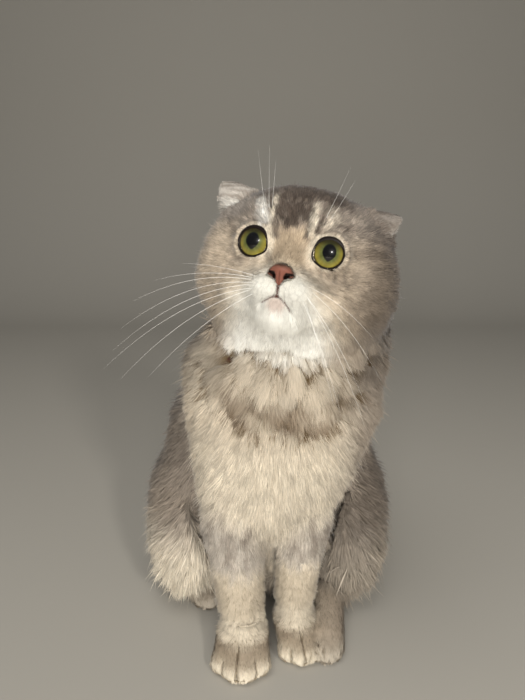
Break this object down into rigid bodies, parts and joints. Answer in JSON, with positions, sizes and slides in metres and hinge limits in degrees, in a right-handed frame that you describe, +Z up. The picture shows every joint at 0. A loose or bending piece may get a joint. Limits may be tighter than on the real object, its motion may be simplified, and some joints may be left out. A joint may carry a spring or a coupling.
{
  "type": "scottish fold cat",
  "caption": "Seated fold-eared cat, life size, head raised and turned a little, forelegs together, tail curled on the floor behind it.",
  "frame": {"origin": "centre of the footprint, on the floor", "axes": "+Z up, the cat faces -Y, its left side is +X"},
  "size_m": [0.217, 0.349, 0.3332],
  "materials": {
    "coat_grey": "short dense plush coat, grey-beige ticked with dark grey-brown",
    "coat_pale": "short cream fur of the feet",
    "ear_felt": "very short felt-like fur on the folded ears",
    "iris": "yellow-olive iris under a clear wet cornea",
    "nose_leather": "brick-pink bare skin, finely pebbled, slightly moist"
  },
  "bodies": {
    "root": {"head": "coat_grey", "nose": "nose_leather", "eye_right": "iris", "ear_right": "ear_felt", "eye_left": "iris", "ear_left": "ear_felt", "foreleg_right": "coat_grey", "forepaw_right": "coat_pale", "foreleg_left": "coat_grey", "forepaw_left": "coat_pale", "hind_foot_right": "coat_pale", "hind_foot_left": "coat_pale", "thigh_right": "coat_grey", "thigh_left": "coat_grey", "torso": "coat_grey", "chest": "coat_grey", "neck": "coat_grey", "tail_root": "coat_grey", "tail_middle": "coat_grey", "tail_tip": "coat_grey"}
  },
  "joints": []
}
